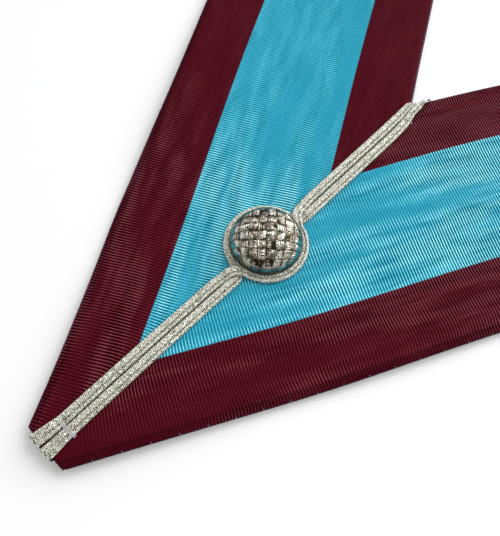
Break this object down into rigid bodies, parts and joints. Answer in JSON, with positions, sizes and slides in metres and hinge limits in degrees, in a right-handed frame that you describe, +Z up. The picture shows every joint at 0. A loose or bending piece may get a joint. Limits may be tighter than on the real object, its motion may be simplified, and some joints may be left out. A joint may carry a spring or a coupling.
{
  "type": "masonic collar",
  "caption": "Ribbon collar that meets in a point at the front, with braid over the seam and a domed button.",
  "frame": {"origin": "on the table under the middle of the collar's length and width", "axes": "+Y from the front point towards the back of the neck, +X to the wearer's left as it is seen lying, +Z up off the table"},
  "size_m": [0.4376, 0.6511, 0.0139],
  "materials": {
    "ribbon": "watered grosgrain ribbon, turquoise with maroon borders, soft sheen",
    "lining": "plain black cloth",
    "braid": "silver metal thread, plaited",
    "button": "polished silver plate with dark grooves",
    "post": "plain"
  },
  "bodies": {
    "root": {"ribbon_left": "ribbon", "ribbon_right": "ribbon", "lining_left": "lining", "lining_right": "lining", "braid_over": "braid", "braid_under": "braid", "button_dome": "button", "button_post": "post"}
  },
  "joints": []
}
